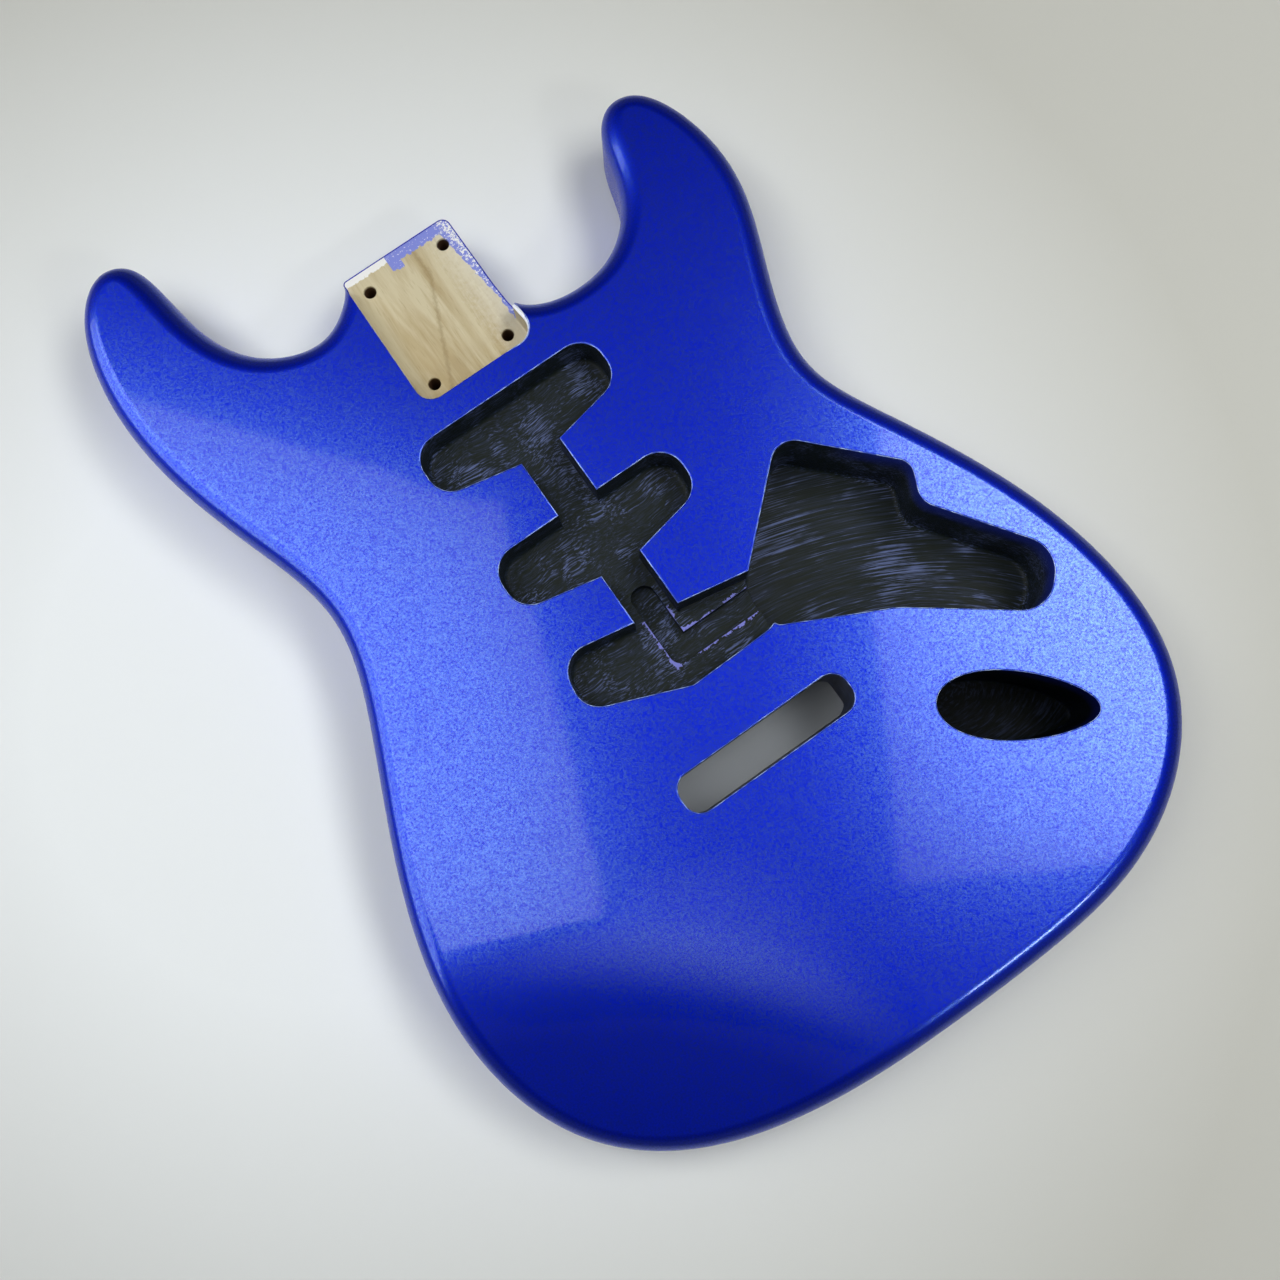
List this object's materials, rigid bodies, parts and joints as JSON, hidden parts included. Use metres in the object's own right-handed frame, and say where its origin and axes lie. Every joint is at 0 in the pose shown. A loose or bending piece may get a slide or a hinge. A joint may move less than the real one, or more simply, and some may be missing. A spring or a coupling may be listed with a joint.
{
  "type": "electric guitar body",
  "caption": "Bare double cutaway electric guitar body, finished, with a neck pocket, pickup, control and jack cavities, a bridge slot and a spring cavity behind it.",
  "frame": {"origin": "on the back face, on the neck's centreline, straight under the wall that closes the neck pocket", "axes": "+X towards the treble side, +Y along the strings towards the neck, +Z out of the front face"},
  "size_m": [0.3239, 0.4571, 0.0444],
  "materials": {
    "wood": "bare light wood, machined and lightly sanded",
    "metallic_finish": "blue metallic flake under polished clear lacquer, over a white primer",
    "conductive_coat": "brushed black conductive coat"
  },
  "bodies": {
    "root": {"bass_outer_board": "wood", "bass_inner_board": "wood", "centre_board": "wood", "treble_inner_board": "wood", "treble_outer_board": "wood", "front_and_edge_finish": "metallic_finish", "back_finish": "metallic_finish", "main_cavity_conductive_coat": "conductive_coat", "jack_cavity_conductive_coat": "conductive_coat"}
  },
  "joints": []
}
